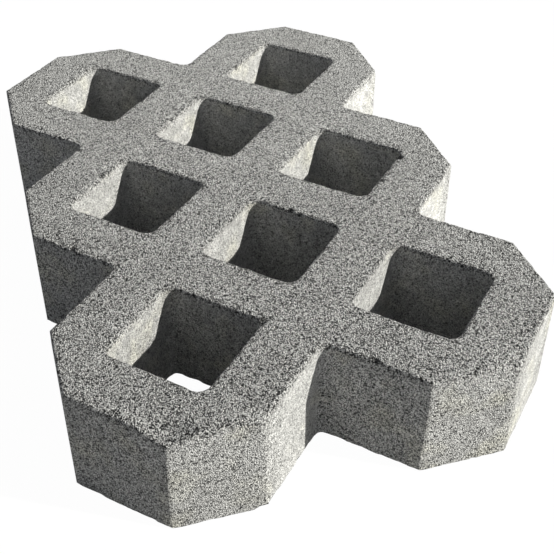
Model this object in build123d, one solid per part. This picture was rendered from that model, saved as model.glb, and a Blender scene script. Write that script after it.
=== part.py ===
from build123d import *
import math
import os

# Lattice paving stone: one casting of dry concrete, pressed in a mould whose square cores stand
# diagonally on a grid. A core inside the mould leaves an opening right through, a core on its
# side leaves a V-shaped notch, and a core on its corner leaves a cut corner. The flats between
# the notches butt the next stones. Millimetres, +Z up, origin at the middle of the underside.

# Laying grid
FLAT_PITCH = 200.0  # from one butting flat to the next, along X and along Y
FLATS_LONG = 3  # butting flats on each long side
FLATS_WIDE = 2  # butting flats on each short side
THICKNESS = 100.0  # height of the stone as laid

# Mould cores
CORE_WIDTH = 90.0  # side of a square opening, at the top face
CORE_CORNER_R = 10.0  # upright corners of an opening or notch
CORE_LEAN = 1.0  # how far a wall leans into its opening by the underside, so the mould lifts off
CORE_TURN = 45.0  # degrees, so that the webs run diagonally

# Edges
ARRIS_BEVEL = 3.5  # bevel that the pressing shoe leaves on every edge of the top face
UNDERSIDE_BREAK = 1.0  # bevel on every edge of the underside

LENGTH = FLATS_LONG * FLAT_PITCH
WIDTH = FLATS_WIDE * FLAT_PITCH


def core_places():
    """Centres of the mould cores: every other point of the half-pitch grid, the corners included."""
    half_pitch = FLAT_PITCH / 2
    return [
        (half_pitch * column, half_pitch * row)
        for column in range(-FLATS_LONG, FLATS_LONG + 1)
        for row in range(-FLATS_WIDE, FLATS_WIDE + 1)
        if (column - row + FLATS_LONG - FLATS_WIDE) % 2 == 0
    ]


def mould_core():
    """One core: a square with round corners that narrows from the top face to the underside."""
    section = Pos(0, 0, THICKNESS) * RectangleRounded(CORE_WIDTH, CORE_WIDTH, CORE_CORNER_R)
    lean = math.degrees(math.atan(CORE_LEAN / THICKNESS))
    return Rot(0, 0, CORE_TURN) * extrude(section, amount=THICKNESS, dir=(0, 0, -1), taper=lean)


def paving_stone():
    """The block with every core taken out, then the edges of its top and underside bevelled."""
    block = Box(LENGTH, WIDTH, THICKNESS, align=(Align.CENTER, Align.CENTER, Align.MIN))
    core = mould_core()
    stone = block - [Pos(x, y, 0) * core for x, y in core_places()]
    stone = chamfer(stone.faces().sort_by(Axis.Z)[-1].edges(), ARRIS_BEVEL)
    return chamfer(stone.faces().sort_by(Axis.Z)[0].edges(), UNDERSIDE_BREAK)


os.makedirs("parts", exist_ok=True)
export_step(paving_stone(), "parts/grid_paver.step")
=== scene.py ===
import math

import bpy
import numpy as np
from mathutils import Matrix, Vector


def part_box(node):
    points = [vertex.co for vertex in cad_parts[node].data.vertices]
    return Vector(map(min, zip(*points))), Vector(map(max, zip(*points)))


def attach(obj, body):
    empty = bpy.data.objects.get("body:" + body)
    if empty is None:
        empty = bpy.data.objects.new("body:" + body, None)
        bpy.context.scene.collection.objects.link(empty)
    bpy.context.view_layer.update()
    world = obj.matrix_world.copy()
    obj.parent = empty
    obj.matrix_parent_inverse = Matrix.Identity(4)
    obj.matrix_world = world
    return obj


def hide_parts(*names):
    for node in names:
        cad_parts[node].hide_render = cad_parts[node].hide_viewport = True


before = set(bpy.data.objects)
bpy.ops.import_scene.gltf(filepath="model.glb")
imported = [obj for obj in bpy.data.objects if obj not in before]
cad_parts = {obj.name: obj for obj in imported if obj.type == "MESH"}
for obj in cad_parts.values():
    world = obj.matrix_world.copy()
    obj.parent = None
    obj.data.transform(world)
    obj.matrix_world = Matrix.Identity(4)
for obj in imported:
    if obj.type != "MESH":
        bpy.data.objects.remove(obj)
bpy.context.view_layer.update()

bl_info = {
    "name": "Lattice Paving Stone",
    "version": (1, 0, 0),
    "blender": (4, 5, 0),
    "location": "View3D > Sidebar > Stone",
    "description": "Casts a lattice paving stone in dry-pressed concrete and lights it",
    "category": "Add Mesh",
}

MM = 0.001
NODE = "grid_paver"

# The stone's box, which has the origin at the middle of its underside, and the number of butting
# flats on a long and on a short side
STONE_LOW, STONE_HIGH = (np.array(corner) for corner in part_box(NODE))
HALF_LENGTH, HALF_WIDTH = STONE_HIGH[0], STONE_HIGH[1]
HEIGHT = STONE_HIGH[2] - STONE_LOW[2]
FLATS_LONG, FLATS_WIDE = 3, 2
FLAT_PITCH = float(STONE_HIGH[0] - STONE_LOW[0]) / FLATS_LONG

# Points nearer than TOUCH count as one, and nothing is divided by less than TINY
TOUCH = 1e-6
TINY = 1e-12


def linear(hex_colour):
    """An sRGB hex colour as linear red, green, blue and alpha."""
    parts = [int(hex_colour[i:i + 2], 16) / 255 for i in (1, 3, 5)]
    return tuple(c / 12.92 if c <= 0.04045 else ((c + 0.055) / 1.055) ** 2.4 for c in parts) + (1.0,)


def length_prop(name, description, default):
    """A length that a user can change, shown to a tenth of a millimetre."""
    return bpy.props.FloatProperty(
        name=name, description=description, default=default, unit="LENGTH", precision=4)


def angle_prop(name, description, degrees):
    """An angle that a user can change."""
    return bpy.props.FloatProperty(
        name=name, description=description, default=math.radians(degrees), subtype="ANGLE")


def colour_prop(name, description, hex_colour):
    """A colour that a user can change."""
    return bpy.props.FloatVectorProperty(
        name=name, description=description, default=linear(hex_colour), size=4, subtype="COLOR", min=0, max=1)


class StoneShape(bpy.types.PropertyGroup):
    """Sizes of the cast stone that its box doesn't give."""
    core_width: length_prop("Core width", "Side of a square opening at the top face", 90 * MM)
    core_corner: length_prop("Core corner", "Radius of an opening's upright corners", 9 * MM)
    core_lean: length_prop("Core lean", "How far a core's walls close in by the underside", 1 * MM)
    arris: length_prop("Arris", "Radius of the worn edges round the top face", 2.7 * MM)
    flat_end: length_prop("Flat end", "Radius of the upright corners of the butting flats", 1.6 * MM)
    foot: length_prop("Foot", "Radius of the edges round the underside", 1.6 * MM)
    column_step: length_prop("Column step", "Spacing of the mesh along the middle of a web", 2.15 * MM)
    sag: length_prop("Unevenness", "Depth of the slow waves in a face", 0.3 * MM)
    crumble: length_prop("Crumble", "Depth of the grains lost along an arris", 1.15 * MM)
    chips: bpy.props.IntProperty(name="Chips", description="Small breaks along the edges", default=150, min=0)
    seed: bpy.props.IntProperty(name="Seed", description="Picks the places of chips and waves", default=7)


class StoneFinish(bpy.types.PropertyGroup):
    """Colours and grain sizes of the pressed concrete."""
    paste: colour_prop("Paste", "Cement paste, most of the surface", "#DADAD8")
    paste_dark: colour_prop("Damp paste", "Darker clouds in the paste", "#CECECC")
    warm: colour_prop("Warm patches", "Yellowish efflorescence on formed walls", "#E2E0D0")
    sand_light: colour_prop("Light sand", "Bright quartz grains", "#F8F8F5")
    # Dark sand also gives the painted shade in open pores and breaks
    dark_sand_and_pore_shade: colour_prop("Dark sand", "Dark basalt grains and open pores", "#262626")
    grain: length_prop("Grain", "Spacing of the coarse sand", 1.2 * MM)
    grain_relief: length_prop("Grain relief", "How far the sand stands out of the paste", 0.95 * MM)


class StudioLight(bpy.types.PropertyGroup):
    """One low key lamp from the right, a dim surround and a white ground."""
    key_azimuth: angle_prop("Key azimuth", "Where the key stands, from +X towards +Y", 61)
    key_elevation: angle_prop("Key elevation", "Height of the key above the ground", 24)
    key_size: angle_prop("Key size", "How wide the key looks from the stone", 1.2)
    key_strength: bpy.props.FloatProperty(
        name="Key strength", description="Irradiance of the key", default=5.55)
    surround: bpy.props.FloatProperty(name="Surround", description="Light from all round", default=0.235)


# The noise repeats after this many cells
NOISE_TABLE = 64


def value_noise(points, size, seed):
    """Smooth noise from -1 to 1: random values on a cubic grid of that size, blended by a smoothstep.
    The grid is shifted by the seed, so that no two lie on each other."""
    table = np.random.default_rng(seed).uniform(-1, 1, (NOISE_TABLE,) * 3)
    at = points / size + 0.37 * seed
    cell = np.floor(at).astype(int)
    t = at - cell
    t = t * t * (3 - 2 * t)
    out = 0.0
    for corner in range(8):
        step = np.array([corner & 1, corner >> 1 & 1, corner >> 2])
        weight = np.prod(np.where(step == 1, t, 1 - t), axis=1)
        i, j, k = ((cell + step) % NOISE_TABLE).T
        out = out + weight * table[i, j, k]
    return out


def layered_noise(points, size, seed, layers):
    """Noise from -1 to 1: layers added up, each of half the size and half the height of the last, and
    each with a seed of its own."""
    total = sum(0.5 ** n * value_noise(points, size * 0.5 ** n, seed + 31 * n) for n in range(layers))
    return total / sum(0.5 ** n for n in range(layers))


class Loop:
    """A closed polygon with rounded corners, walked by arc length with the concrete on its left."""

    def __init__(self, corners, radii):
        corners, radii = np.array(corners, float), np.array(radii, float)
        into, out = corners - np.roll(corners, 1, 0), np.roll(corners, -1, 0) - corners
        into /= np.linalg.norm(into, axis=1)[:, None]
        out /= np.linalg.norm(out, axis=1)[:, None]
        self.turn = np.arctan2(into[:, 0] * out[:, 1] - into[:, 1] * out[:, 0], (into * out).sum(1))
        setback = radii * np.tan(np.abs(self.turn) / 2)
        self.arc_from, self.arc_to = corners - into * setback[:, None], corners + out * setback[:, None]
        self.into, self.radii = into, radii
        self.arc = radii * np.abs(self.turn)
        straight = np.linalg.norm(np.roll(self.arc_from, -1, 0) - self.arc_to, axis=1)
        self.start = np.concatenate([[0], np.cumsum(self.arc + straight)])

    def middle(self, i):
        """Arc length at the middle of corner i; past the last corner it goes on round."""
        laps, i = divmod(i, len(self.arc))
        return laps * self.start[-1] + self.start[i] + self.arc[i] / 2

    def at(self, lengths):
        """Plan points and left-hand normals: a turn about the arc's centre, then a straight run."""
        s = np.mod(lengths, self.start[-1])
        i = np.clip(np.searchsorted(self.start, s, side="right") - 1, 0, len(self.arc) - 1)
        along = s - self.start[i]
        share = np.clip(along / np.maximum(self.arc[i], TINY), 0, 1)
        angle = self.turn[i] * share
        cos, sin = np.cos(angle), np.sin(angle)
        first = self.into[i]
        heading = np.stack([cos * first[:, 0] - sin * first[:, 1], sin * first[:, 0] + cos * first[:, 1]], 1)
        first_left = np.stack([-first[:, 1], first[:, 0]], 1)
        left = np.stack([-heading[:, 1], heading[:, 0]], 1)
        side = np.sign(self.turn[i])[:, None]
        on_arc = self.arc_from[i] + side * self.radii[i][:, None] * (first_left - left)
        rest = np.maximum(along - self.arc[i], 0)[:, None]
        return np.where(rest > 0, self.arc_to[i] + heading * rest, on_arc), left


def spread(marks, counts):
    """Each gap between marks cut into its count of even steps, without the last mark."""
    return np.concatenate([a + (b - a) * np.arange(n) / n for a, b, n in zip(marks, marks[1:], counts)])


# The shortest stretch of a web's middle line has this many steps, because it faces a whole round corner
FEWEST_STEPS = 24


def web_line(points, step):
    """Counts of steps, and plan points, along a closed line down the middles of the webs."""
    points = np.array(points, float)
    ends = np.roll(points, -1, 0)
    counts = [max(FEWEST_STEPS, round(gap / step)) for gap in np.linalg.norm(ends - points, axis=1)]
    return counts, np.concatenate([a + (b - a) * (np.arange(n) / n)[:, None]
                                   for a, b, n in zip(points, ends, counts)])


def opening_strip(centre, shape, margin):
    """Walks one opening clockwise, so that the concrete is on its left. Where the web's middle line
    would reach a butting flat it is cut short by margin, and that cut faces the whole corner arc.
    Returns the wall's plan points, its left-hand normals and the middle line that faces them."""
    half_core = shape.core_width / math.sqrt(2)
    ways = [(0, -1), (-1, 0), (0, 1), (1, 0)]
    loop = Loop([np.array(centre) + half_core * np.array(way) for way in ways], [shape.core_corner] * 4)
    line, marks = [], []
    for i, way in enumerate(ways):
        tip = np.array(centre) + FLAT_PITCH / 2 * np.array(way)
        if abs(abs(tip[0]) - HALF_LENGTH) < TOUCH or abs(abs(tip[1]) - HALF_WIDTH) < TOUCH:
            back, side = -margin * np.array(way), margin * np.array((-way[1], way[0]))
            line += [tip + back + side, tip + back - side]
            marks += [loop.start[i], loop.start[i] + loop.arc[i]]
        else:
            line.append(tip)
            marks.append(loop.middle(i))
    counts, middle = web_line(line, shape.column_step)
    return loop.at(spread(marks + [marks[0] + loop.start[-1]], counts)) + (middle,)


def outline_strip(shape, margin):
    """Walks the outside counter-clockwise: each butting flat has two corners, each notch one.
    Returns the same three as opening_strip."""
    half_core = shape.core_width / math.sqrt(2)
    half_flat = FLAT_PITCH / 2 - half_core
    corners, line, radii = [], [], []
    sides = [((-1, -1), (1, 0), FLATS_LONG), ((1, -1), (0, 1), FLATS_WIDE),
             ((1, 1), (-1, 0), FLATS_LONG), ((-1, 1), (0, -1), FLATS_WIDE)]
    for corner, way, flats in sides:
        start, way = np.array(corner) * (HALF_LENGTH, HALF_WIDTH), np.array(way)
        inward = np.array((-way[1], way[0]))
        for n in range(flats):
            flat = start + way * FLAT_PITCH * (n + 0.5)
            corners += [flat - way * half_flat, flat + way * half_flat]
            line += [flat + inward * margin - way * margin, flat + inward * margin + way * margin]
            radii += [shape.flat_end] * 2
            if n < flats - 1:
                notch = flat + way * FLAT_PITCH / 2
                corners.append(notch + inward * half_core)
                line.append(notch + inward * FLAT_PITCH / 2)
                radii.append(shape.core_corner)
    loop = Loop(corners, radii)
    marks = [loop.middle(i) for i in range(len(corners) + 1)]
    counts, middle = web_line(line, shape.column_step)
    return loop.at(spread(marks, counts)) + (middle,)


# Rows of the mesh across the web's half section, as shares of each stretch: over the top, round the
# arris, down the wall, round the foot and back underneath
TOP_STEPS = np.array([0, .25, .47, .66, .81, .92])
ARRIS_STEPS = np.linspace(0, 1, 7)
WALL_STEPS = np.array([.022, .05, .085, .14, .23, .36, .52, .68, .82, .91, .965])
FOOT_STEPS = np.linspace(0, 1, 4)
UNDER_STEPS = np.array([.15, .5, 1])

# About how far the middle of a web lies from an arris, and how far wear reaches from the edges of the
# top and of the underside
WEB_REACH = 22 * MM
TOP_WEAR = 7 * MM
FOOT_WEAR = 5 * MM

# A leaning wall draws the mesh beneath the top along with it, less and less over this distance
LEAN_REACH = 20 * MM


def carry_section(wall, left, middle, shape):
    """Carries the web's half section along a strip. Down the rows it runs over the top from the
    middle of the web, round the arris by a quarter turn, down the leaning wall, round the foot by a
    quarter turn and back under to the middle. Returns points, normals and how near an edge each is."""
    arris, foot = shape.arris, shape.foot
    wall, left, middle = (np.concatenate([v, np.zeros((len(v), 1))], 1)[None] for v in (wall, left, middle))
    up = np.array([0, 0, 1.0])
    top, quarter, drop, foot_quarter, under = (
        steps[:, None, None] for steps in (TOP_STEPS, ARRIS_STEPS, WALL_STEPS, FOOT_STEPS, UNDER_STEPS))
    turn, foot_turn = quarter * math.pi / 2, foot_quarter * math.pi / 2

    points = np.concatenate([
        middle + (wall + left * arris - middle) * top + up * HEIGHT,
        wall + left * arris * (1 - np.sin(turn)) + up * (HEIGHT - arris + arris * np.cos(turn)),
        wall + up * (HEIGHT - arris - (HEIGHT - arris - foot) * drop),
        wall + left * foot * (1 - np.cos(foot_turn)) + up * foot * (1 - np.sin(foot_turn)),
        wall + left * foot + (middle - wall - left * foot) * under])
    flat = np.ones_like(wall[..., :1])
    normals = np.concatenate([
        up * flat * np.ones_like(top),
        up * np.cos(turn) - left * np.sin(turn),
        -left * np.ones_like(drop),
        -left * np.cos(foot_turn) - up * np.sin(foot_turn),
        -up * flat * np.ones_like(under)])
    near_arris = np.clip(1 - drop * HEIGHT / TOP_WEAR, 0, 1)
    near_foot = np.clip(1 - (1 - drop) * HEIGHT / FOOT_WEAR, 0, 1)
    near = np.concatenate([
        np.clip(1 - (1 - top) * WEB_REACH / TOP_WEAR, 0, 1) * flat,
        np.ones_like(turn) * flat,
        near_arris * flat + near_foot * flat,
        np.ones_like(foot_turn) * flat,
        np.clip(1 - under * WEB_REACH / FOOT_WEAR, 0, 1) * flat])[..., 0]
    lean = shape.core_lean * (1 - points[..., 2:] / HEIGHT)
    away = np.linalg.norm(points[..., :2] - wall[..., :2], axis=-1, keepdims=True)
    reach = np.clip(1 - away / LEAN_REACH, 0, 1)
    below_top = normals[..., 2:] <= 0.999  # all but the level rows on top
    return points - left * lean * reach * below_top, normals, near


def strip_faces(rows, columns, first):
    """Quads between neighbouring rows and columns of a strip that closes on itself."""
    row, column = np.meshgrid(np.arange(rows - 1) * columns, np.arange(columns), indexing="ij")
    below, right = row + columns, (column + 1) % columns
    return np.stack([row + column, below + column, below + right, row + right], -1).reshape(-1, 4) + first


# How open the concrete is: on the wall of an opening, by which of the two diagonals it runs along,
# and on the outside, where the notch walls along one diagonal lose NOTCH_CLOSED over NOTCH_REACH
CORE_OPENNESS, CROSS_OPENNESS, SIDE_OPENNESS = 0.45, 0.6, 0.8
NOTCH_CLOSED = 0.35
NOTCH_REACH = 22 * MM

# Painted light and shade on the walls, as a factor on the paste of the top: the walls of an opening are
# painted darker, as shade in a recess, and the outside walls paler, where the notch walls along one diagonal
# have NOTCH_DARKER less
CORE_SHADE_TONE, SIDE_LIGHT_TONE, NOTCH_DARKER = 0.86, 1.12, 0.07

# The pressed look of the top holds this far down a wall, and is gone after TOP_FADE more
TOP_HOLD = 3 * MM
TOP_FADE = 6 * MM

# Arrises in the openings are worn less than those on the outside
CORE_WEAR = 0.85


def wall_looks(points, normals, near, left, outside):
    """How open a strip's concrete is, how much painted light and shade its walls carry, and how worn it
    is. The first two start from the kind of wall and the diagonal it runs along, and blend into the pressed
    top, which has 1 of each. Wear is near in the upper half and 0 below, and a little less in the openings."""
    diagonal = 2 * left[:, 0] * left[:, 1]
    openness = np.where(diagonal > 0, CORE_OPENNESS, CROSS_OPENNESS) * np.ones_like(near)
    painted_light_tone = CORE_SHADE_TONE * np.ones_like(near)
    if outside:
        inset = np.minimum(HALF_LENGTH - np.abs(points[..., 0]), HALF_WIDTH - np.abs(points[..., 1]))
        openness = SIDE_OPENNESS - np.clip(NOTCH_CLOSED * diagonal, 0, 1) * np.clip(inset / NOTCH_REACH, 0, 1)
        painted_light_tone = (SIDE_LIGHT_TONE - NOTCH_DARKER * np.clip(diagonal, 0, 1)) * np.ones_like(near)
    under_arris = np.clip(1 - (HEIGHT - points[..., 2] - TOP_HOLD) / TOP_FADE, 0, 1)
    pressed = np.maximum(np.clip(normals[..., 2] * 2, 0, 1), under_arris)
    wear = near * (points[..., 2] > HEIGHT / 2) * (1 if outside else CORE_WEAR)
    return np.maximum(openness, pressed), painted_light_tone + (1 - painted_light_tone) * pressed, wear


# Sizes of the patterns in which the faces sink, and the depth of the last
SLOW_WAVES = 55 * MM
LOST_GRAINS = 7 * MM
LOST_FINES = 2.6 * MM
DIMPLES = 5 * MM
DIMPLE_DEPTH = 0.25 * MM

# Radii of the chips in millimetres, and how far a chip's ball stands off the face, in radii
CHIP_RADII = (1.5, 4.5)
CHIP_STAND_OFF = (0.25, 0.75)

# A hollow as deep as this looks freshly broken all over
BROKEN_DEPTH = 1.2 * MM

# Larger pieces broken away: x, y, z and radius of the ball that fits each hollow, in millimetres
LOST_PIECES = [(201.5, -37.5, 100.5, 3.2), (200.2, -34.5, 100.5, 2.9), (199, -32, 100.5, 2.6),
               (301, -135, 101, 2.5), (300.5, -64, 0.5, 4.0), (301, -67, -1.0, 4.5),
               (230, -66, 101.5, 2.8), (219, -57, 101.2, 2.4)]

# Corners of the top face that have worn down: x, y, z, reach and depth, in millimetres
WORN_CORNERS = [(300, -136, 100, 30, 6.5), (300, 136, 100, 26, 4.5),
                (300, -64, 100, 18, 2.0), (300, 64, 100, 18, 1.5)]


def bite(points, centres, radii):
    """Pushes every point that lies inside a ball out onto its surface, as a chip leaves a hollow."""
    for centre, radius in zip(centres, radii):
        reach = points - centre
        gap = np.linalg.norm(reach, axis=1, keepdims=True)
        points = np.where(gap < radius, centre + reach / np.maximum(gap, TINY) * radius, points)
    return points


def weather(points, normals, near, shape):
    """Sinks each face by slow waves and dimples, each edge by lost grains, and the worn corners by a
    smoothstep of the distance, then bites out the chips. Nothing ever stands out. Returns the points
    and how far each lies in a break, from 0 to 1."""
    waves = 0.5 - 0.5 * layered_noise(points, SLOW_WAVES, shape.seed, 3)
    grains = np.clip(0.25 + layered_noise(points, LOST_GRAINS, shape.seed + 1, 2), 0, 1)
    fines = np.clip(value_noise(points, LOST_FINES, shape.seed + 2), 0, 1)
    dimples = np.clip(value_noise(points, DIMPLES, shape.seed + 3) - 0.25, 0, 1)
    depth = shape.sag * waves + near * shape.crumble * (0.65 * grains + 0.4 * fines) + DIMPLE_DEPTH * dimples
    worn = points - normals * depth[:, None]
    for x, y, z, reach, drop in np.array(WORN_CORNERS) * MM:
        t = np.clip(1 - np.linalg.norm(points - (x, y, z), axis=1) / reach, 0, 1)
        worn[:, 2] -= drop * t * t * (3 - 2 * t)
    rng = np.random.default_rng(shape.seed + 4)
    edge = np.flatnonzero(near > 0.99)
    pick = rng.choice(edge, shape.chips, replace=False)
    radii = rng.uniform(*CHIP_RADII, shape.chips) * MM
    centres = points[pick] + normals[pick] * (radii * rng.uniform(*CHIP_STAND_OFF, shape.chips))[:, None]
    left = bite(worn, centres, radii)
    pieces = np.array(LOST_PIECES) * MM
    left = bite(left, pieces[:, :3], pieces[:, 3])
    return left, np.clip(np.linalg.norm(left - worn, axis=1) / BROKEN_DEPTH, 0, 1)


def cast_mesh(shape):
    """The openings, on every other point of the half-pitch grid, and the outside, as strips of quads
    that meet down the middles of the webs. Returns points, faces and the four fields that the
    concrete reads: openness, painted_light_tone (painted light and shade on the walls), wear and broken."""
    half_pitch = FLAT_PITCH / 2
    margin = (half_pitch - shape.core_width / math.sqrt(2)) / 2
    centres = [(half_pitch * i, half_pitch * j)
               for i in range(1 - FLATS_LONG, FLATS_LONG) for j in range(1 - FLATS_WIDE, FLATS_WIDE)
               if (i - j + FLATS_LONG - FLATS_WIDE) % 2 == 0]
    strips = [opening_strip(centre, shape, margin) for centre in centres]
    strips.append(outline_strip(shape, margin))
    columns, faces, first = [], [], 0
    for number, (wall, left, middle) in enumerate(strips):
        section = carry_section(wall, left, middle, shape)
        near = section[2]
        faces.append(strip_faces(*near.shape, first))
        first += near.size
        looks = wall_looks(*section, left, outside=number == len(centres))
        columns.append([values.reshape(near.size, -1) for values in section + looks])
    points, normals, near, openness, painted_light_tone, wear = (np.concatenate(parts) for parts in zip(*columns))
    points, broken = weather(points, normals, near[:, 0], shape)
    fields = {"openness": openness[:, 0], "painted_light_tone": painted_light_tone[:, 0], "wear": wear[:, 0], "broken": broken}
    return np.clip(points, STONE_LOW, STONE_HIGH), np.concatenate(faces), fields


def weld(points, faces):
    """Gives points at the same place one number, and drops faces that lose a side by it. Returns
    the points, the faces and the old number of each point."""
    key = np.round(points / TOUCH).astype(np.int64)
    _, first, number = np.unique(key, axis=0, return_index=True, return_inverse=True)
    faces = number.ravel()[faces]
    whole = np.array([faces[:, i] != faces[:, (i + 1) % 4] for i in range(4)]).all(0)
    return points[first], faces[whole], first


def add_node(tree, kind, values=None, output=0, stops=(), **settings):
    """Adds a node and returns its output of that name or number, if it has any. settings are the
    node's own. values go on its inputs, and an output among them is linked. stops are the places and
    greys of a colour ramp."""
    node = tree.nodes.new(kind)
    for name, value in settings.items():
        setattr(node, name, value)
    for name, value in (values or {}).items():
        if isinstance(value, bpy.types.NodeSocket):
            tree.links.new(value, node.inputs[name])
        else:
            node.inputs[name].default_value = value
    for _ in stops[2:]:
        node.color_ramp.elements.new(0.5)
    for number, (place, grey) in enumerate(stops):
        node.color_ramp.elements[number].position = place
        node.color_ramp.elements[number].color = (grey, grey, grey, 1)
    return node.outputs[output] if node.outputs else None


# A Mix node has sockets for every type of value; these are the ones that mix colours
SHARE, UNDER, OVER, MIXED = 0, 6, 7, 2

# Sizes of the broad patterns in the concrete
CLOUDS = 48 * MM  # damp and dry clouds in the paste
BLOOM = 36 * MM  # warm patches of lime on the formed walls
MOTTLE = 9 * MM  # blotches where a core let go of a wall
STREAKS = 4 * MM  # width of the marks that a core leaves as it is drawn
STREAK_SQUEEZE = (1, 1, 0.07)  # multiplies the place, which draws the marks out along Z

# The outlines of the spots are made ragged by a shift of up to RAGGED_SHIFT that changes over RAGGED
RAGGED = 1.6 * MM
RAGGED_SHIFT = 1.3 * MM

# Sand and pores. Real sand runs from 0.1 to 2 mm. Half of that is finer than a pixel, so the finest
# grit here is drawn 1 mm wide, which is as coarse as it needs to be to show.
FINES = 1.0 * MM

# Spots strewn by chance: the size of a cell, the colour channel of the cells that is drawn as the
# lot, the share of cells that have a spot, what wear adds to that share, and where in a cell the
# spot starts to fade and where it ends
PITS = (1.5 * MM, "Green", 0.22, 0.1, 0.3, 0.5)
CRUMBS = (3.1 * MM, "Green", 0.0, 0.17, 0.2, 0.46)
POCKS = (2.3 * MM, "Red", 0.1, 0.0, 0.3, 0.5)
PROUD_SAND = (1.5 * MM, "Blue", 0.2, 0.1, 0.3, 0.5)


def pressed_concrete(finish):
    """Dry concrete pressed in a steel mould: cement paste with coarse sand in it. It gives the eye a
    matt grey field peppered with bright quartz and pores dark with painted shade, open on the pressed top
    and smoother on the walls that the cores formed, which carry warm patches of bloom. Light and shade
    are painted in too: in the low parts of the grit, beside the edges of the top, darker on the walls of
    the openings and darker towards +X."""
    material = bpy.data.materials.new("pressed_concrete")
    material.use_nodes = True
    tree = material.node_tree
    tree.nodes.clear()

    place = add_node(tree, "ShaderNodeTexCoord", output="Object")
    openness, painted_light_tone, wear, broken = (
        add_node(tree, "ShaderNodeAttribute", output="Fac", attribute_name=name)
        for name in ("openness", "painted_light_tone", "wear", "broken"))
    opened = add_node(tree, "ShaderNodeMath", {0: openness, 1: broken}, operation="MAXIMUM")

    def blotches(size, detail, at, *stops):
        """Soft blotches of that size: layered noise, and the grey of its low and high parts."""
        field = add_node(tree, "ShaderNodeTexNoise", {"Vector": at, "Scale": 1 / size, "Detail": detail})
        return add_node(tree, "ShaderNodeValToRGB", {"Fac": field}, stops=stops)

    shift = add_node(tree, "ShaderNodeTexNoise", {"Vector": place, "Scale": 1 / RAGGED, "Detail": 1}, "Color")
    ragged = add_node(tree, "ShaderNodeVectorMath", {0: shift, 1: (RAGGED_SHIFT,) * 3, 2: place},
                      operation="MULTIPLY_ADD")

    def strewn(size, channel, share, worn_share, core, rim):
        """Ragged spots by chance: 1 in the core of a cell whose lot plus the share comes to 1."""
        cell = add_node(tree, "ShaderNodeTexVoronoi", {"Vector": ragged, "Scale": 1 / size})
        lot = add_node(tree, "ShaderNodeSeparateColor", {"Color": cell.node.outputs["Color"]}, channel)
        share = add_node(tree, "ShaderNodeMath", {0: wear, 1: worn_share, 2: share}, operation="MULTIPLY_ADD")
        lot = add_node(tree, "ShaderNodeMath", {0: lot, 1: share}, operation="ADD")
        drawn = add_node(tree, "ShaderNodeValToRGB", {"Fac": lot}, stops=((0.97, 0.0), (1.0, 1.0)))
        spot = add_node(tree, "ShaderNodeValToRGB", {"Fac": cell}, stops=((core, 1.0), (rim, 0.0)))
        return add_node(tree, "ShaderNodeMath", {0: spot, 1: drawn}, operation="MULTIPLY")

    # Bloom lies on the formed walls and leaves the pressed top and the breaks free
    bloom = blotches(BLOOM, 3, place, (0.5, 0.0), (0.68, 1.0))
    formed = add_node(tree, "ShaderNodeValToRGB", {"Fac": opened},
                      stops=((0.7, 0.55), (0.85, 0.5), (1.0, 0.0)))
    bloom = add_node(tree, "ShaderNodeMath", {0: bloom, 1: formed}, operation="MULTIPLY")

    # The mottle is full in the openings, half on the butting flats and none on the top
    mottled = add_node(tree, "ShaderNodeValToRGB", {"Fac": opened},
                       stops=((0.6, 1.0), (0.8, 0.5), (1.0, 0.0)))
    mottle = blotches(MOTTLE, 3, place, (0.36, 0.83), (0.64, 1.14))

    # Painted light and shade across the stone: darker towards +X and -Y and paler towards -X and +Y,
    # 0.5 at its middle and a slope along X and Y. The grit fades a little towards the paler end on the same
    # slope.
    slope = add_node(tree, "ShaderNodeVectorMath", {0: place, 1: (-1.1, 0.88, 0)}, "Value",
                     operation="DOT_PRODUCT")
    shading_slope = add_node(tree, "ShaderNodeMath", {0: slope, 1: 0.5}, operation="ADD")
    slope_shade_tone = add_node(tree, "ShaderNodeValToRGB", {"Fac": shading_slope},
                         stops=((0.0, 0.8), (0.35, 0.89), (0.6, 0.98), (1.0, 1.0)))
    slope_grit = add_node(tree, "ShaderNodeValToRGB", {"Fac": shading_slope}, stops=((0.3, 1.0), (0.9, 0.8)))
    grit = add_node(tree, "ShaderNodeMath", {0: opened, 1: slope_grit}, operation="MULTIPLY")

    # A darker line of painted shade, as from a small burr, runs beside the edges of the top, and cores
    # leave upright marks on the walls
    arris_shade_line = add_node(tree, "ShaderNodeValToRGB", {"Fac": wear},
                         stops=((0.65, 1.0), (0.85, 0.82), (1.0, 1.0)))
    drawn_up = add_node(tree, "ShaderNodeVectorMath", {0: place, 1: STREAK_SQUEEZE}, operation="MULTIPLY")
    streaks = blotches(STREAKS, 2, drawn_up, (0.3, 0.94), (0.7, 1.0))

    # Hollows: breaks, and three kinds of pore
    hollow = add_node(tree, "ShaderNodeMath", {0: broken, 1: 0.45}, operation="MULTIPLY")
    for spots in (PITS, CRUMBS, POCKS):
        hollow = add_node(tree, "ShaderNodeMath", {0: hollow, 1: strewn(*spots)}, operation="MAXIMUM")

    # Relief of the grit: fines, the lot of each coarse grain and its round back, less the hollows.
    # The start takes off what the fines come to on average.
    grains = add_node(tree, "ShaderNodeTexVoronoi", {"Vector": place, "Scale": 1 / finish.grain})
    lot = add_node(tree, "ShaderNodeSeparateColor", {"Color": grains.node.outputs["Color"]}, "Red")
    fines = add_node(tree, "ShaderNodeTexNoise", {"Vector": place, "Scale": 1 / FINES, "Detail": 1})
    relief = -0.89
    for part, amount in ((fines, 2.5), (lot, 0.3), (grains, -0.45), (hollow, -0.8)):
        relief = add_node(tree, "ShaderNodeMath", {0: part, 1: amount, 2: relief}, operation="MULTIPLY_ADD")
    # Painted shade in the low parts of the relief, down to near black, and painted light on its high grains
    relief_shade_and_light = add_node(tree, "ShaderNodeValToRGB", {"Fac": relief},
                      stops=((0.0, 0.06), (0.22, 0.54), (0.42, 1.05), (0.7, 1.4)))
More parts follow.
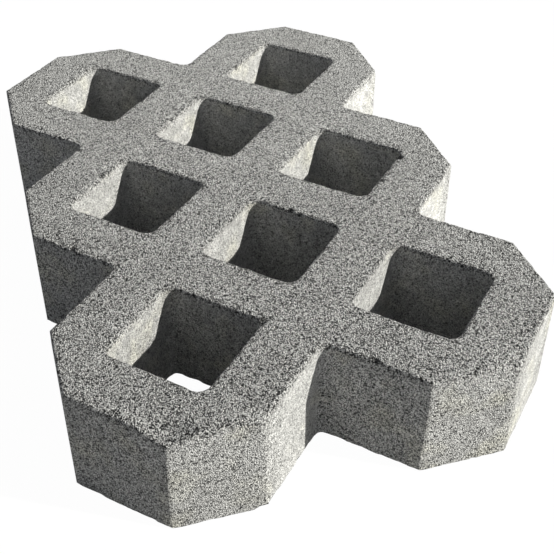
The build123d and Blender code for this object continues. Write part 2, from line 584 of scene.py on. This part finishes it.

    # Bright sand stands proud in spots; dark sand is the lowest lots of the grains, and the pores and
    # breaks get painted shade in the same dark colour
    proud = add_node(tree, "ShaderNodeMath", {0: strewn(*PROUD_SAND), 1: 0.8}, operation="MULTIPLY")
    proud = add_node(tree, "ShaderNodeMath", {0: proud, 1: grit}, operation="MULTIPLY")
    dark = add_node(tree, "ShaderNodeValToRGB", {"Fac": lot}, stops=((0.06, 0.6), (0.12, 0.0)))
    pore_shade = add_node(tree, "ShaderNodeMath", {0: hollow, 1: 0.95}, operation="MULTIPLY")
    dark = add_node(tree, "ShaderNodeMath", {0: dark, 1: pore_shade}, operation="MAXIMUM")
    dark = add_node(tree, "ShaderNodeMath", {0: dark, 1: grit}, operation="MULTIPLY")

    # The coats over the damp paste, from the lowest up: how each is laid, its share and its colour.
    # A grey above 1 makes the paste paler.
    coats = [
        ("MIX", blotches(CLOUDS, 4, place, (0.35, 0.0), (0.65, 1.0)), tuple(finish.paste)),
        ("MIX", bloom, tuple(finish.warm)),
        # painted light and shade: darker walls in the openings, paler walls outside
        ("MULTIPLY", 1.0, painted_light_tone),
        ("MULTIPLY", mottled, mottle),
        # painted shade: darker towards +X and -Y
        ("MULTIPLY", 1.0, slope_shade_tone),
        # painted shade beside the edges of the top
        ("MULTIPLY", 1.0, arris_shade_line),
        ("MULTIPLY", 1.0, streaks),
        # painted shade in the low parts of the grit, painted light on its high grains
        ("MULTIPLY", grit, relief_shade_and_light),
        ("MIX", proud, tuple(finish.sand_light)),
        # dark sand, and painted shade in the pores and breaks
        ("MIX", dark, tuple(finish.dark_sand_and_pore_shade)),
    ]
    colour = tuple(finish.paste_dark)
    for blend, share, coat in coats:
        colour = add_node(tree, "ShaderNodeMix", {SHARE: share, UNDER: colour, OVER: coat}, MIXED,
                          data_type="RGBA", blend_type=blend)

    # The relief is full where the grit is, and would be a tenth where there is none
    rough = add_node(tree, "ShaderNodeMath", {0: grit, 1: 0.9, 2: 0.1}, operation="MULTIPLY_ADD")
    height = add_node(tree, "ShaderNodeMath", {0: relief, 1: rough}, operation="MULTIPLY")
    normal = add_node(tree, "ShaderNodeBump",
                      {"Height": height, "Strength": 1.0, "Distance": finish.grain_relief})

    # A dry mineral: almost fully rough, with an index near that of quartz and only a trace of a sheen
    surface = add_node(tree, "ShaderNodeBsdfPrincipled", {
        "Base Color": colour, "Roughness": 0.92, "IOR": 1.5, "Specular IOR Level": 0.25, "Normal": normal})
    add_node(tree, "ShaderNodeOutputMaterial", {"Surface": surface})
    return material


def seen_as_white(tree):
    """1 for the rays that should meet a white surround: from the camera, off gloss or through glass."""
    rays = add_node(tree, "ShaderNodeLightPath").node.outputs
    seen = 0.0
    for kind in ("Is Camera Ray", "Is Glossy Ray", "Is Transmission Ray"):
        seen = add_node(tree, "ShaderNodeMath", {0: seen, 1: rays[kind]}, operation="MAXIMUM")
    return seen


# The camera sees this share of the paper's own shading, which keeps the stone's shadow, and the rest
# as a glow that comes out white
PAPER_SHADE = 0.06
PAPER_GLOW = 1.04


def studio_paper():
    """Seamless studio paper: white to the camera and to reflections, plain grey paper to the light."""
    material = bpy.data.materials.new("studio_paper")
    material.use_nodes = True
    tree = material.node_tree
    tree.nodes.clear()
    amount = add_node(tree, "ShaderNodeMath", {0: seen_as_white(tree), 1: 1 - PAPER_SHADE},
                      operation="MULTIPLY")
    paper = add_node(tree, "ShaderNodeBsdfDiffuse", {"Color": linear("#BDBDBD")})
    glow = add_node(tree, "ShaderNodeEmission", {"Color": linear("#FFFFFF"), "Strength": PAPER_GLOW})
    both = add_node(tree, "ShaderNodeMixShader", {0: amount, 1: paper, 2: glow})
    add_node(tree, "ShaderNodeOutputMaterial", {"Surface": both})
    return material


class STONE_OT_cast(bpy.types.Operator):
    """Cast the stone and give it its concrete"""
    bl_idname = "stone.cast"
    bl_label = "Cast Stone"

    def execute(self, context):
        points, faces, fields = cast_mesh(context.scene.stone_shape)
        points, faces, kept = weld(points, faces)
        mesh = bpy.data.meshes.new("paving_stone")
        mesh.from_pydata(points, [], faces.tolist())
        mesh.validate()
        mesh.shade_smooth()
        for name, values in fields.items():
            field = mesh.attributes.new(name, "FLOAT", "POINT")
            field.data.foreach_set("value", values[kept].astype(np.float32))
        mesh.materials.append(pressed_concrete(context.scene.stone_finish))
        stone = bpy.data.objects.new("paving_stone", mesh)
        context.scene.collection.objects.link(stone)
        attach(stone, "root")
        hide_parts(NODE)
        return {"FINISHED"}


# The ground reaches this many metres each way, and lies this far under the stone, so that the two
# don't share a plane
GROUND_REACH = 6.0
GROUND_DROP = 0.2 * MM

# The camera's place in metres, where it looks in degrees (heading from +X towards +Y, pitch up,
# roll), and its focal length and optical centre in pixels of a square picture PICTURE_SIDE wide
CAMERA_PLACE = (0.76213, -0.19804, 0.62522)
CAMERA_HEADING, CAMERA_PITCH, CAMERA_ROLL = 164.969, -38.449, -0.870
FOCAL_LENGTH = 997.3
CENTRE_ACROSS, CENTRE_DOWN = 248.9, 259.6
PICTURE_SIDE = 554


def towards(azimuth, elevation):
    """The unit vector that points that way: azimuth from +X towards +Y, elevation up from the ground."""
    flat = math.cos(elevation)
    return Vector((math.cos(azimuth) * flat, math.sin(azimuth) * flat, math.sin(elevation)))


class STONE_OT_stage(bpy.types.Operator):
    """Lay the white ground and set the lamps and the camera"""
    bl_idname = "stone.stage"
    bl_label = "Set Stage"

    def execute(self, context):
        scene, light = context.scene, context.scene.stone_light
        scene.view_settings.view_transform = "Standard"
        ground = bpy.data.meshes.new("ground")
        edges = (-GROUND_REACH, GROUND_REACH)
        ground.from_pydata([(x, y, 0) for y in edges for x in edges], [], [(0, 1, 3, 2)])
        ground.materials.append(studio_paper())
        floor = bpy.data.objects.new("ground", ground)
        floor.location.z = -GROUND_DROP
        scene.collection.objects.link(floor)

        lamp = bpy.data.lights.new("key", "SUN")
        lamp.energy, lamp.angle, lamp.color = light.key_strength, light.key_size, linear("#FFFDF6")[:3]
        key = bpy.data.objects.new("key", lamp)
        key.rotation_mode = "QUATERNION"
        key.rotation_quaternion = towards(light.key_azimuth, light.key_elevation).to_track_quat("Z", "Y")
        scene.collection.objects.link(key)

        world = bpy.data.worlds.new("surround")
        scene.world = world
        world.use_nodes = True
        tree = world.node_tree
        tree.nodes.clear()
        dim = add_node(tree, "ShaderNodeBackground", {"Color": linear("#F4F8FF"), "Strength": light.surround})
        white = add_node(tree, "ShaderNodeBackground", {"Color": linear("#FFFFFF"), "Strength": 1.0})
        both = add_node(tree, "ShaderNodeMixShader", {0: seen_as_white(tree), 1: dim, 2: white})
        add_node(tree, "ShaderNodeOutputWorld", {"Surface": both})

        lens = bpy.data.cameras.new("camera")
        lens.sensor_width = 36
        lens.lens = FOCAL_LENGTH / PICTURE_SIDE * lens.sensor_width
        lens.shift_x = (PICTURE_SIDE / 2 - CENTRE_ACROSS) / PICTURE_SIDE
        lens.shift_y = (CENTRE_DOWN - PICTURE_SIDE / 2) / PICTURE_SIDE
        camera = bpy.data.objects.new("camera", lens)
        ahead = towards(math.radians(CAMERA_HEADING), math.radians(CAMERA_PITCH))
        roll = Matrix.Rotation(math.radians(CAMERA_ROLL), 3, "Z")
        camera.rotation_mode = "QUATERNION"
        camera.rotation_quaternion = (ahead.to_track_quat("-Z", "Y").to_matrix() @ roll).to_quaternion()
        camera.location = CAMERA_PLACE
        scene.collection.objects.link(camera)
        scene.camera = camera
        return {"FINISHED"}


class STONE_PT_sidebar(bpy.types.Panel):
    """Sizes, finish and light of the stone"""
    bl_label = "Lattice Paving Stone"
    bl_space_type = "VIEW_3D"
    bl_region_type = "UI"
    bl_category = "Stone"

    def draw(self, context):
        scene = context.scene
        for title, group in (("Shape", scene.stone_shape), ("Finish", scene.stone_finish),
                             ("Light", scene.stone_light)):
            box = self.layout.box()
            box.label(text=title)
            for name in group.__annotations__:
                box.prop(group, name)
        self.layout.operator("stone.cast")
        self.layout.operator("stone.stage")


CLASSES = (StoneShape, StoneFinish, StudioLight, STONE_OT_cast, STONE_OT_stage, STONE_PT_sidebar)


def register():
    for cls in CLASSES:
        bpy.utils.register_class(cls)
    bpy.types.Scene.stone_shape = bpy.props.PointerProperty(type=StoneShape)
    bpy.types.Scene.stone_finish = bpy.props.PointerProperty(type=StoneFinish)
    bpy.types.Scene.stone_light = bpy.props.PointerProperty(type=StudioLight)


def unregister():
    del bpy.types.Scene.stone_light
    del bpy.types.Scene.stone_finish
    del bpy.types.Scene.stone_shape
    for cls in reversed(CLASSES):
        bpy.utils.unregister_class(cls)


def main():
    """Casts and stages the stone."""
    register()
    bpy.ops.stone.cast()
    bpy.ops.stone.stage()


if __name__ == "__main__":
    main()
